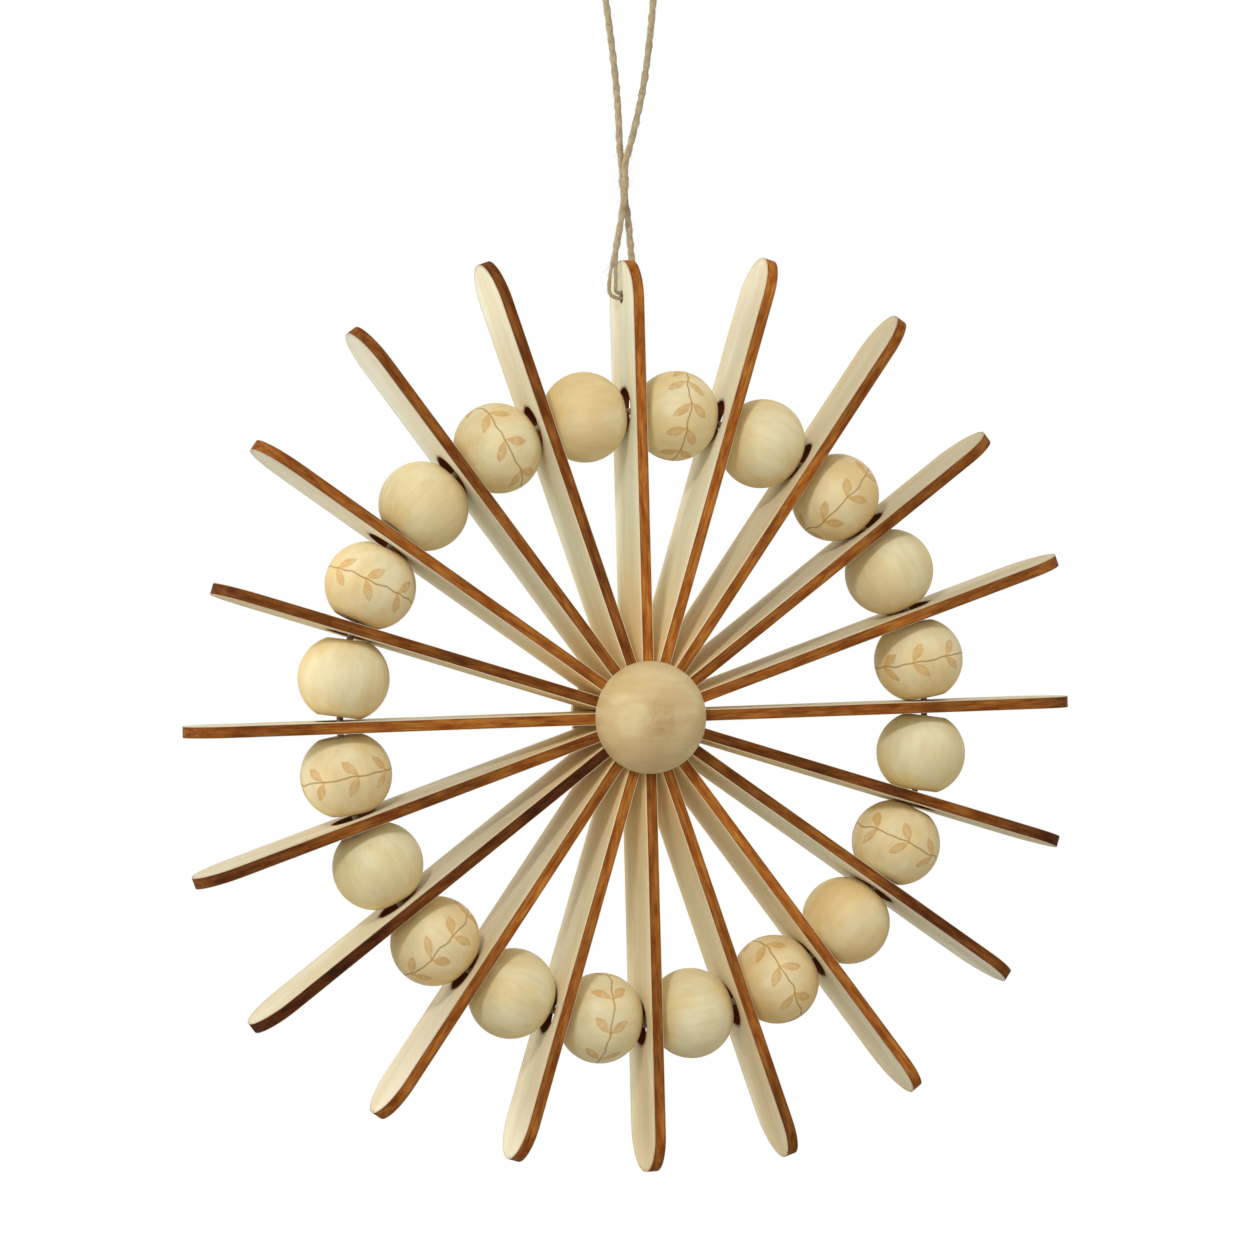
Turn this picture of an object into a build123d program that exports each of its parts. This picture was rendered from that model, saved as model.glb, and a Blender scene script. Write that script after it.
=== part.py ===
from build123d import *
import os
from math import cos, pi, radians, sin, sqrt, tan

# A hanging star: twenty wooden blades stand edge to edge round a hub of two half balls,
# a ring of twenty beads is threaded between them, and a loop of twine holds the top blade.
# X runs across the star, Y through it from front to back, Z up to the hanging point.

# Blades, cut by hand from thin sheet, each with a full-round outer end
BLADE_COUNT = 20
STAR_RADIUS = 82.5
BLADE_THICKNESS = 2.0
BLADE_DEPTH = 14.6
INNER_CORNER_GAP = 0.2
STRING_HOLE_DIAMETER = 7.6
TWINE_HOLE_DIAMETER = 2.2
TWINE_HOLE_INSET = 6.4

# Each blade's reach as a share of the star's radius, clockwise from the top one
BLADE_REACH_SHARES = [
    0.966, 1.016, 1.034, 0.988, 1.004, 0.972, 0.99, 1.009, 1.019, 0.999,
    0.966, 0.971, 1.004, 1.048, 1.01, 0.975, 0.953, 1.002, 1.018, 1.011,
]

# Hub, one half ball on the front of the blades and one on the back
HALF_BALL_DIAMETER = 19.6

# Beads, turned with a flat at each end of the bore
BEAD_LENGTH = 13.3
BEAD_DIAMETER = 15.8
BEAD_FLAT_DIAMETER = 7.4
BEAD_BORE_DIAMETER = 3.0
BEAD_END_CLEARANCE = 0.15

# String through the beads, tied inside the lowest blade's hole
STRING_DIAMETER = 1.5
STRING_KNOT_DIAMETER = 2.8

# Twine, limp, with its heights measured down from the hanging point
TWINE_DIAMETER = 1.5
TWINE_HOLE_DROP = 65.9
CROSSING_DROP = 44.8
CROSSING_GAP = 0.1
TWIST_CLEARANCE = 0.05
HOLE_RUNNING_CLEARANCE = 0.05
LEG_CLEARANCE = 0.3
NECK_RISE = 0.9
HOLE_BEND_RADIUS = 1.3
RUN_SHARE = 0.45

# Overhand knot of the two strands, with its cut tails above it
KNOT_RISE = 4.4
KNOT_HEIGHT = 5.6
KNOT_DIAMETER = 5.6
KNOT_END_DIAMETER = 4.0
TAIL_SINK = 0.5

# The tails' points above the knot, as (x, y, height above the knot's top)
LEFT_TAIL_POINTS = [(-0.8, 0.0, 2.2), (-2.1, -0.5, 5.6), (-2.6, -0.2, 8.4)]
RIGHT_TAIL_POINTS = [(0.8, 0.0, 2.0), (1.6, 0.6, 5.0), (3.1, 0.9, 7.4)]

# The strands' free points between crossing and knot, from the crossing up
LEFT_STRAND_POINTS = [
    (-0.45, 0.55, -40.3),
    (-0.6, 0.1, -34.7),
    (-1.05, 0.0, -27.2),
    (-2.3, 0.0, -15.0),
    (-3.3, 0.0, -8.2),
    (-2.9, 0.0, -3.0),
]
RIGHT_STRAND_POINTS = [
    (1.1, -0.55, -39.8),
    (2.75, -0.1, -34.4),
    (4.5, 0.0, -27.0),
    (6.3, 0.0, -14.5),
    (6.5, 0.0, -8.0),
    (4.6, 0.0, -2.9),
]
CROSSING_LEAD = 2.2

# The sling's free points between crossing and blade tip, as (x, y, drop below the crossing)
SLING_LEFT_POINT = (-0.55, -0.45, 6.5)
SLING_RIGHT_POINT = (1.0, 0.45, 6.5)

# Places that follow from the sizes
PITCH = 360 / BLADE_COUNT
HALF_PITCH = radians(PITCH / 2)
BLADE_INNER_RADIUS = (INNER_CORNER_GAP + BLADE_THICKNESS * cos(HALF_PITCH)) / 2 / sin(HALF_PITCH)
BEAD_REACH = (BEAD_LENGTH * cos(HALF_PITCH) + BEAD_FLAT_DIAMETER * sin(HALF_PITCH)) / 2
BEAD_RING_RADIUS = (BEAD_REACH + BLADE_THICKNESS / 2 + BEAD_END_CLEARANCE) / sin(HALF_PITCH)
STRING_HOLE_RADIUS_PLACE = BEAD_RING_RADIUS / cos(HALF_PITCH)
STRING_RING_RADIUS = (BEAD_RING_RADIUS + sqrt(BEAD_RING_RADIUS**2 + (BEAD_LENGTH / 2) ** 2)) / 2
TWINE_HOLE_Z = -TWINE_HOLE_DROP
TOP_BLADE_REACH = STAR_RADIUS * BLADE_REACH_SHARES[0]
STAR_Z = TWINE_HOLE_Z - (TOP_BLADE_REACH - TWINE_HOLE_INSET)
TIP_Z = STAR_Z + TOP_BLADE_REACH
TWINE_IN_HOLE_Z = TWINE_HOLE_Z + (TWINE_HOLE_DIAMETER - TWINE_DIAMETER) / 2 - HOLE_RUNNING_CLEARANCE
CROSSING_Z = -CROSSING_DROP
STRAND_OFFSET = (TWINE_DIAMETER + CROSSING_GAP) / 2
LEG_X = BLADE_THICKNESS / 2 + TWINE_DIAMETER / 2 + LEG_CLEARANCE
HOLE_CORNER_X = BLADE_THICKNESS / 2 + HOLE_BEND_RADIUS


def around_star(shape, angle):
    """Move a shape built on the star's upward radius to a clockwise angle, seen from the front."""
    return Pos(0, 0, STAR_Z) * Rot(0, angle, 0) * shape


def blade(index):
    """One blade on the upward radius, with its wide faces across X; the first has the twine's hole."""
    side = BLADE_DEPTH / 2
    reach = STAR_RADIUS * BLADE_REACH_SHARES[index % len(BLADE_REACH_SHARES)]
    shoulder = reach - side
    outline = [
        Line((-side, BLADE_INNER_RADIUS), (side, BLADE_INNER_RADIUS)),
        Line((side, BLADE_INNER_RADIUS), (side, shoulder)),
        ThreePointArc((side, shoulder), (0, reach), (-side, shoulder)),
        Line((-side, shoulder), (-side, BLADE_INNER_RADIUS)),
    ]
    face = make_face(outline)
    face -= Pos(0, STRING_HOLE_RADIUS_PLACE) * Circle(STRING_HOLE_DIAMETER / 2)
    if index == 0:
        face -= Pos(0, reach - TWINE_HOLE_INSET) * Circle(TWINE_HOLE_DIAMETER / 2)
    return extrude(Plane.YZ * face, BLADE_THICKNESS / 2, both=True)


def half_ball(front):
    """One half ball, its flat glued on the blades' front or back edges."""
    radius = HALF_BALL_DIAMETER / 2
    quarter = [
        Line((0, 0), (radius, 0)),
        CenterArc((0, 0), radius, 0, 90),
        Line((0, radius), (0, 0)),
    ]
    dome = revolve(make_face(quarter), Axis.Y)
    turn = 180 if front else 0
    return Pos(0, 0, STAR_Z) * Rot(0, 0, turn) * Pos(0, BLADE_DEPTH / 2, 0) * dome


def bead():
    """One bead on the upward radius, with its bore along X."""
    end = BEAD_LENGTH / 2
    bore = BEAD_BORE_DIAMETER / 2
    flat = BEAD_FLAT_DIAMETER / 2
    profile = [
        Line((end, bore), (end, flat)),
        ThreePointArc((end, flat), (0, BEAD_DIAMETER / 2), (-end, flat)),
        Line((-end, flat), (-end, bore)),
        Line((-end, bore), (end, bore)),
    ]
    return Pos(0, 0, BEAD_RING_RADIUS) * revolve(make_face(profile), Axis.X)


def bead_string():
    """The ring of string, knotted where it passes the lowest blade."""
    ring = Rot(90, 0, 0) * Torus(STRING_RING_RADIUS, STRING_DIAMETER / 2)
    knot = Pos(0, 0, -STRING_RING_RADIUS) * Sphere(STRING_KNOT_DIAMETER / 2)
    return Pos(0, 0, STAR_Z) * (ring + knot)


def bend_radii(name, points, tight_corners=()):
    """One radius for each corner of a route, as large as its two runs allow."""
    corners = [Vector(*point) for point in points]
    radii = []
    for index in range(1, len(corners) - 1):
        arriving = corners[index] - corners[index - 1]
        leaving = corners[index + 1] - corners[index]
        half_turn = radians(arriving.get_angle(leaving) / 2)
        radius = RUN_SHARE * min(arriving.length, leaving.length) / tan(half_turn)
        if index in tight_corners:
            radius = HOLE_BEND_RADIUS
        radii.append(radius)
    print(name, "bend radii", [round(radius, 1) for radius in radii])
    return radii


def tube(name, points, tight_corners=()):
    """A twine stretch: straight runs joined by tangent arcs."""
    path = FilletPolyline(*points, radius=bend_radii(name, points, tight_corners))
    section = Plane(origin=path @ 0, z_dir=path % 0) * Circle(TWINE_DIAMETER / 2)
    solid = sweep(section, path=path)
    share = solid.volume / (pi * TWINE_DIAMETER**2 / 4 * path.length)
    print(name, "length", round(path.length, 1), "volume over section times length", round(share, 4))
    return solid


def strand(name, side, points):
    """One strand of the hanging loop, from the crossing up into the knot's lower face."""
    depth = -side * STRAND_OFFSET
    start = [(0, depth, CROSSING_Z), (0, depth, CROSSING_Z + CROSSING_LEAD)]
    neck = [(side * STRAND_OFFSET, 0, NECK_RISE), (side * STRAND_OFFSET, 0, KNOT_RISE)]
    return tube(name, start + points + neck)


def twine_sling():
    """The twine below the crossing: down the left face, through the hole, up the right face."""
    top = CROSSING_Z - TWIST_CLEARANCE
    lead = top - CROSSING_LEAD
    left_x, left_y, left_drop = SLING_LEFT_POINT
    right_x, right_y, right_drop = SLING_RIGHT_POINT
    route = [
        (0, -STRAND_OFFSET, top),
        (0, -STRAND_OFFSET, lead),
        (left_x, left_y, CROSSING_Z - left_drop),
        (-LEG_X, 0, TIP_Z + LEG_CLEARANCE),
        (-HOLE_CORNER_X, 0, TWINE_IN_HOLE_Z),
        (HOLE_CORNER_X, 0, TWINE_IN_HOLE_Z),
        (LEG_X, 0, TIP_Z + LEG_CLEARANCE),
        (right_x, right_y, CROSSING_Z - right_drop),
        (0, STRAND_OFFSET, lead),
        (0, STRAND_OFFSET, top),
    ]
    return tube("twine_sling", route, tight_corners=(4, 5))


def twine_knot():
    """The barrel of the overhand knot on the strands' ends, with two cut tails."""
    end = KNOT_END_DIAMETER / 2
    profile = [
        Line((0, 0), (end, 0)),
        ThreePointArc((end, 0), (KNOT_DIAMETER / 2, KNOT_HEIGHT / 2), (end, KNOT_HEIGHT)),
        Line((end, KNOT_HEIGHT), (0, KNOT_HEIGHT)),
        Line((0, KNOT_HEIGHT), (0, 0)),
    ]
    barrel = revolve(Plane.XZ * make_face(profile), Axis.Z)
    top = KNOT_RISE + KNOT_HEIGHT
    knot = Pos(0, 0, KNOT_RISE) * barrel
    for side, free_points in ((-1, LEFT_TAIL_POINTS), (1, RIGHT_TAIL_POINTS)):
        route = [(side * STRAND_OFFSET, 0, top - TAIL_SINK)]
        route += [(x, y, top + rise) for x, y, rise in free_points]
        knot += tube("tail", route)
    return knot


def build():
    """Every piece of the star, by name."""
    pieces = {
        "front_half_ball": half_ball(front=True),
        "back_half_ball": half_ball(front=False),
        "bead_string": bead_string(),
        "twine_sling": twine_sling(),
        "twine_left_strand": strand("twine_left_strand", -1, LEFT_STRAND_POINTS),
        "twine_right_strand": strand("twine_right_strand", 1, RIGHT_STRAND_POINTS),
        "twine_knot": twine_knot(),
    }
    for index in range(BLADE_COUNT):
        turn = PITCH * index
        pieces[f"blade_{index + 1:02d}"] = around_star(blade(index), turn)
        kind = "sprig" if index % 2 == 0 else "plain"
        pieces[f"{kind}_bead_{index + 1:02d}"] = around_star(bead(), turn + PITCH / 2)
    return pieces


os.makedirs("parts", exist_ok=True)
for node, solid in build().items():
    solid.label = node
    export_step(solid, f"parts/{node}.step")
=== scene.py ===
import logging
import random
from dataclasses import dataclass
from enum import Enum
from functools import partialmethod
from itertools import accumulate
from math import cos, pi, radians, sin, tau
from types import SimpleNamespace as Values
from typing import Callable, Iterable, Sequence

import bmesh
import bpy
from mathutils import Matrix, Vector


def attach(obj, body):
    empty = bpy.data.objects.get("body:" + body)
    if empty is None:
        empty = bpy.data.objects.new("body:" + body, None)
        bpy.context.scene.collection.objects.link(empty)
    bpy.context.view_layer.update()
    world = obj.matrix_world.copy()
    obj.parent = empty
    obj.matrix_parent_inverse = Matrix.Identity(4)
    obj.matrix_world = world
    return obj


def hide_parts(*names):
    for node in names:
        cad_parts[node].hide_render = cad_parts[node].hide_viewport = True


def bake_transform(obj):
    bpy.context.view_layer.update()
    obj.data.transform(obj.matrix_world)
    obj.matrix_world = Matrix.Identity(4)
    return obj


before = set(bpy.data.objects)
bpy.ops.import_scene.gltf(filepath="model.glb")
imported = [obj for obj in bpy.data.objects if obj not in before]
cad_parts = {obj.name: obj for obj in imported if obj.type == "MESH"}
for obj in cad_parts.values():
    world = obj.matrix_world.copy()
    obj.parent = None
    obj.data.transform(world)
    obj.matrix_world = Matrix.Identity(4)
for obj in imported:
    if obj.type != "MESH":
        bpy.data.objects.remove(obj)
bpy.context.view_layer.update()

MM = 0.001
STAR_CENTRE_Z = -139.195
BLADE_COUNT = 20
PITCH_DEGREES = 360 / BLADE_COUNT
BEAD_RING = 53.038
BEAD_RADIUS = 7.9
BRIGHTEST_WOOD = 250
WHITE = (1.0, 1.0, 1.0, 1.0)
LOG = logging.getLogger("hanging_star")

Point = tuple[float, float, float]
Rgb = tuple[int, int, int]
Rgba = tuple[float, float, float, float]
Tone = tuple[Rgb, Rgb]
Frame = tuple[Vector, Vector, Vector]
Girth = Callable[[float], float]
Line = Sequence[Vector]
Route = tuple[Point, ...]


def srgb(*channels: int) -> Rgba:
    """A colour of 0 to 255 a channel, as linear values and an alpha of 1."""
    shares = (channel / 255 for channel in channels)
    return (*(s / 12.92 if s <= 0.04045 else ((s + 0.055) / 1.055) ** 2.4 for s in shares), 1.0)


class Wire:
    """A value in a node tree, which takes part in sums as a number does."""

    def __init__(self, sheet: "NodeSheet", socket: bpy.types.NodeSocket) -> None:
        """Keep the value's socket, and the sheet that its next nodes go on."""
        self.sheet, self.socket = sheet, socket

    def math(self, operation: str, *others: object, clamp: bool = False) -> "Wire":
        """One arithmetic step from this value, which may be clamped between 0 and 1."""
        return self.sheet.add("ShaderNodeMath", self, *others, operation=operation, use_clamp=clamp)

    def after(self, operation: str, other: object) -> "Wire":
        """One arithmetic step from another value to this one."""
        return self.sheet.add("ShaderNodeMath", other, self, operation=operation)

    __add__ = partialmethod(math, "ADD")
    __mul__ = partialmethod(math, "MULTIPLY")
    __sub__ = partialmethod(math, "SUBTRACT")
    __rsub__ = partialmethod(after, "SUBTRACT")
    __truediv__ = partialmethod(math, "DIVIDE")
    __rtruediv__ = partialmethod(after, "DIVIDE")
    __abs__ = partialmethod(math, "ABSOLUTE")

    def smooth(self, low: float, high: float) -> "Wire":
        """A soft step over this value, 0 where it is low and 1 where it is high, up or downwards."""
        ends = (low, high, 0.0, 1.0) if high > low else (high, low, 1.0, 0.0)
        return self.sheet.add("ShaderNodeMapRange", self, *ends, interpolation_type="SMOOTHSTEP", clamp=True)

    def noise(self, scale: float, detail: float, roughness: float = 0.55) -> "Wire":
        """Soft random values, about 0.25 to 0.75, read at this place."""
        return self.sheet.add("ShaderNodeTexNoise", self, 0.0, scale, detail, roughness)

    def sway(self, reach: float, scale: float, detail: float) -> "Wire":
        """Soft random values about 0, read at this place."""
        return (self.noise(scale, detail) - 0.5) * reach


class NodeSheet:
    """A node tree with short calls for placing nodes and joining their sockets."""

    def __init__(self, tree: bpy.types.NodeTree) -> None:
        """Keep the tree that the calls add to."""
        self.tree = tree

    def feed(self, socket: bpy.types.NodeSocket, value: object) -> None:
        """Link a value into a socket, or set the socket's own value.

        Args:
            socket: The input socket.
            value: A wire, a number, a vector or a colour.
        """
        if isinstance(value, Wire):
            self.tree.links.new(value.socket, socket)
        else:
            socket.default_value = value

    def fill(self, node: bpy.types.Node, values: dict[str | int, object]) -> bpy.types.Node:
        """Feed several of a node's inputs.

        Args:
            node: The node.
            values: What its inputs get, by title or number.

        Returns:
            The same node.
        """
        for place, value in values.items():
            self.feed(node.inputs[place], value)
        return node

    def node(self, kind: str, *values: object, **settings: object) -> bpy.types.Node:
        """Place one node.

        Args:
            kind: The node's type name.
            values: What its first inputs get, in order.
            settings: Properties to set on it.

        Returns:
            The new node.
        """
        node = self.tree.nodes.new(kind)
        for name, value in settings.items():
            setattr(node, name, value)
        return self.fill(node, dict(enumerate(values)))

    def add(self, kind: str, *values: object, output: int | str = 0, **settings: object) -> Wire:
        """Place one node, and take its output of that number or title."""
        return Wire(self, self.node(kind, *values, **settings).outputs[output])

    def vector(self, x: object, y: object, z: object) -> Wire:
        """Three values joined into a vector."""
        return self.add("ShaderNodeCombineXYZ", x, y, z)

    def parted(self, vector: Wire) -> list[Wire]:
        """A vector's three values."""
        return [Wire(self, part) for part in self.node("ShaderNodeSeparateXYZ", vector).outputs]

    def on_ring(self, angle: Wire, radius: float, third: object) -> Wire:
        """A place on a ring at an angle, with a third coordinate, so that noise closes round it."""
        return self.vector(angle.math("COSINE") * radius, angle.math("SINE") * radius, third)

    def flat_length(self, first: Wire, second: Wire) -> Wire:
        """The length of a flat vector, from its two coordinates."""
        return (first * first + second * second).math("SQRT")

    def mix(self, share: Wire, first: object, second: object) -> Wire:
        """Two colours mixed, by the second one's share."""
        node = self.node("ShaderNodeMix", share, data_type="RGBA", clamp_factor=True)
        return Wire(self, self.fill(node, {6: first, 7: second}).outputs[2])


def numbers(*titles: str) -> dict[str, str]:
    """Group sockets that each carry a plain number."""
    return dict.fromkeys(titles, "NodeSocketFloat")


class EffectGroup(NodeSheet):
    """A shader node group that several finishes share, built once."""

    name: str = "effect"
    inputs: dict[str, str] = {}
    outputs: dict[str, str] = {}

    def __init__(self) -> None:
        """Build the group with its sockets and nodes."""
        super().__init__(bpy.data.node_groups.new(self.name, "ShaderNodeTree"))
        for way, sockets in (("INPUT", self.inputs), ("OUTPUT", self.outputs)):
            for title, kind in sockets.items():
                self.tree.interface.new_socket(name=title, in_out=way, socket_type=kind)
        self.given = named_outputs(self, self.node("NodeGroupInput"), self.inputs)
        self.work()

    def work(self) -> None:
        """Place the group's own nodes."""
        raise NotImplementedError

    def give(self, results: dict[str, Wire]) -> None:
        """Put out the group's results, by title."""
        self.fill(self.node("NodeGroupOutput"), results)

    @classmethod
    def placed(cls, sheet: NodeSheet, *values: object) -> Values:
        """Place the group on a material's sheet, and build it first where it isn't there yet."""
        tree = bpy.data.node_groups.get(cls.name) or cls().tree
        return named_outputs(sheet, sheet.node("ShaderNodeGroup", *values, node_tree=tree), cls.outputs)


def named_outputs(sheet: NodeSheet, node: bpy.types.Node, titles: Iterable[str]) -> Values:
    """A node's outputs, each under its title in small letters and underscores."""
    wires = {title.lower().replace(" ", "_"): Wire(sheet, node.outputs[title]) for title in titles}
    return Values(**wires)


class StarPlace(EffectGroup):
    """Where a point lies on a blade or bead: along its radius, across it, and in depth, in mm."""

    name = "star_place"
    inputs = {"Place": "NodeSocketVector", **numbers("Turn")}
    outputs = numbers("Along", "Across", "Depth")

    def work(self) -> None:
        """Turn the point back to the star's upward radius."""
        x, depth, height = (part * (1 / MM) for part in self.parted(self.given.place))
        z = height - STAR_CENTRE_Z
        sine, cosine = self.given.turn.math("SINE"), self.given.turn.math("COSINE")
        self.give({"Along": x * sine + z * cosine, "Across": x * cosine - z * sine, "Depth": depth})


class WoodGrain(EffectGroup):
    """Streaks along the grain, broad pale and peach patches, and a fine relief."""

    name = "wood_grain"
    inputs = {"Grain place": "NodeSocketVector", "Patch place": "NodeSocketVector", **numbers("Seed")}
    outputs = numbers("Streaks", "Patches", "Pores", "Relief")
    seed_shift: Point = (7.31, 3.17, 5.53)

    def work(self) -> None:
        """Read noise that is drawn out along the grain."""
        shift = self.vector(*(self.given.seed * step for step in self.seed_shift))
        grain, patch = (
            self.add("ShaderNodeVectorMath", place, shift, operation="ADD")
            for place in (self.given.grain_place, self.given.patch_place)
        )
        pores = grain.noise(3.6, 3.0, 0.65).smooth(0.56, 0.74)
        self.give({
            "Streaks": grain.noise(1.0, 5.0, 0.6).smooth(0.36, 0.66),
            "Patches": patch.noise(1.0, 2.0, 0.5).smooth(0.36, 0.64),
            "Pores": pores,
            "Relief": grain.noise(2.3, 6.0, 0.7) - pores * 0.25,
        })


class BurntEdge(EffectGroup):
    """Laser burn on a blade's narrow edges and hole walls, with its brown rim on the wide faces."""

    name = "burnt_edge"
    inputs = numbers("Along", "Across", "Depth", "Reach", "Twine hole", "Darkness", "Seed")
    outputs = {**numbers("Edge", "Halo", "Wear"), "Burn colour": "NodeSocketColor", **numbers("Ribs")}
    half_thickness: float = 1.0
    half_depth: float = 7.3
    string_hole_place: float = 53.7
    string_hole_radius: float = 3.8
    twine_hole_radius: float = 1.1
    light_burn: tuple[Rgba, Rgba] = (srgb(168, 84, 20), srgb(212, 138, 58))
    dark_burn: tuple[Rgba, Rgba] = (srgb(38, 16, 5), srgb(94, 48, 17))
    streak_colour: Rgba = srgb(76, 32, 8)
    border_colour: Rgba = srgb(86, 38, 10)
    string_hole_colour: Rgba = srgb(122, 68, 32)
    twine_hole_colour: Rgba = srgb(186, 146, 98)

    def burn_colour(self, off_middle: Wire) -> Wire:
        """The mottled and streaked colour of a burnt edge, darker by the blade's own burn.

        Args:
            off_middle: How far a point is from the middle of the blade's thickness.

        Returns:
            The colour.
        """
        across, depth, along, seed = self.given.across, self.given.depth, self.given.along, self.given.seed
        mottle_place = self.vector(across * 1.7, depth * 0.7, along * 0.34 + seed * 11.3)
        mottle = mottle_place.noise(0.6, 4.0, 0.6).smooth(0.3, 0.7)
        sweep = self.vector(seed, depth * 0.05, along * 0.055).sway(1.1, 1.0, 2.0)
        by_place = along.smooth(46.0, 14.0) * 0.05 + along.smooth(48.0, 74.0) * 0.16
        depth_of_burn = (self.given.darkness + sweep).math("ADD", by_place, clamp=True)
        light, dark = (self.mix(mottle, *pair) for pair in (self.light_burn, self.dark_burn))
        burn = self.mix(depth_of_burn, light, dark)
        streak_place = self.vector(across * 3.4, depth * 1.2, along * 0.16 + seed * 4.9)
        streak = streak_place.noise(1.0, 3.0, 0.6).smooth(0.38, 0.7)
        burn = self.mix(streak * 0.4, burn, self.streak_colour)
        border = off_middle.smooth(self.half_thickness - 0.34, self.half_thickness - 0.1)
        return self.mix(border * 0.55, burn, self.border_colour)

    def work(self) -> None:
        """Find the edges by how far a point is from the wide faces and from the outline."""
        across, depth, along = self.given.across, self.given.depth, self.given.along
        off_middle = abs(across)
        past = (along - (self.given.reach - self.half_depth)).math("MAXIMUM", 0.0)
        rim = self.half_depth - self.flat_length(depth, past)
        string_hole = self.flat_length(along - self.string_hole_place, depth) - self.string_hole_radius
        twine_hole = self.flat_length(along - self.given.twine_hole, depth) - self.twine_hole_radius
        ragged = self.vector(depth, along * 0.5, self.given.seed).sway(0.9, 0.9, 3.0)
        from_rim = rim + ragged
        from_hole = string_hole.math("MINIMUM", twine_hole + 0.4) + ragged
        outer = along.smooth(30.0, 58.0)
        brown_rim = from_rim.smooth(0.62, 0.02) * 0.36 * outer
        # Painted highlight: a pale band along the rim of each blade's lit wide face near the hub, where the
        # side lamp reaches past the next blade.
        lit_side = across.smooth(0.3, -0.3) * (1.0 - outer)
        burn = self.burn_colour(off_middle)
        for wall, colour in ((string_hole, self.string_hole_colour), (twine_hole, self.twine_hole_colour)):
            burn = self.mix(abs(wall).smooth(0.3, 0.12), burn, colour)
        self.give({
            "Edge": off_middle.smooth(self.half_thickness - 0.03, self.half_thickness - 0.12),
            "Halo": brown_rim.math("MAXIMUM", from_hole.smooth(0.7, 0.0) * 0.65),
            # Painted highlight mask for that lit band along the rim.
            "Wear": from_rim.smooth(1.2, 0.4) * lit_side,
            "Burn colour": burn,
            "Ribs": self.vector(across * 0.35, depth * 5.0, along * 5.0).noise(1.2, 2.0),
        })


class PaintedSprig(EffectGroup):
    """A thin stem round a bead's middle with pairs of leaves, as masks for the bead's paint."""

    name = "painted_sprig"
    inputs = numbers("Along", "Across", "Depth", "Phase", "Pairs", "Heading", "Seed")
    outputs = numbers("Stem", "Leaf", "Rim", "Glow")
    stem_before_pair: float = 1.2
    leaf_middle: float = 2.15
    leaf_half_length: float = 1.98
    leaf_half_width: float = 0.86
    leaf_widening: float = 0.14
    leaf_lean: float = radians(50)

    def work(self) -> None:
        """Unroll the bead's middle and repeat one pair of leaves along it."""
        across, depth, pairs, seed = self.given.across, self.given.depth, self.given.pairs, self.given.seed
        outward = self.given.along - BEAD_RING
        angle = outward.math("ARCTAN2", depth * -1.0)
        side = across * 1.06 - self.on_ring(angle, 1.9, seed).sway(1.9, 1.0, 1.0)
        aside = abs(side)
        step = tau * BEAD_RADIUS / pairs
        way_round = (angle - self.given.phase) * BEAD_RADIUS * self.given.heading
        cells = (way_round + self.stem_before_pair) / step
        cell = cells.math("FLOOR").math("FLOORED_MODULO", pairs)
        ahead = cells.math("FRACT") * step - self.stem_before_pair
        own = self.vector(cell * 3.7, side.math("SIGN") * 2.3, seed)
        lean = own.sway(0.9, 0.73, 0.0) + self.leaf_lean
        sine, cosine = lean.math("SINE"), lean.math("COSINE")
        leaf_along = ahead * cosine + aside * sine
        leaf_across = aside * cosine - ahead * sine + self.vector(outward, across, depth).sway(0.3, 1.6, 2.0)
        from_middle = (leaf_along - self.leaf_middle) / self.leaf_half_length
        width = from_middle * self.leaf_widening + self.leaf_half_width
        shape = from_middle * from_middle + abs(leaf_across / width)
        leaf = shape.smooth(1.2, 0.66)
        stalk_ends = leaf_along.smooth(-0.1, 0.1) * leaf_along.smooth(1.8, 1.3)
        stalk = abs(leaf_across).smooth(0.2, 0.08) * stalk_ends
        self.give({
            "Stem": aside.smooth(0.24, 0.06),
            "Leaf": leaf.math("MAXIMUM", stalk * 0.9),
            "Rim": leaf * shape.smooth(0.45, 0.95),
            "Glow": self.flat_length(ahead, side).smooth(2.3, 0.4),
        })


class TwistedFibres(EffectGroup):
    """Fibres wound along a ply, read from its length and its girth."""

    name = "twisted_fibres"
    inputs = {"Lay": "NodeSocketVector", **numbers("Windings")}
    outputs = numbers("Fibres", "Tone")

    def work(self) -> None:
        """Wind the noise round the ply."""
        length, girth, _ = self.parted(self.given.lay)
        turn = (girth + length * self.given.windings) * tau
        fibres = self.on_ring(turn, 2.6, length * 0.22).noise(1.7, 5.0, 0.75)
        tone = self.vector(length, girth, 0.0).noise(0.34, 3.0)
        self.give({"Fibres": fibres.smooth(0.34, 0.66), "Tone": tone.smooth(0.38, 0.64)})


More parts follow.
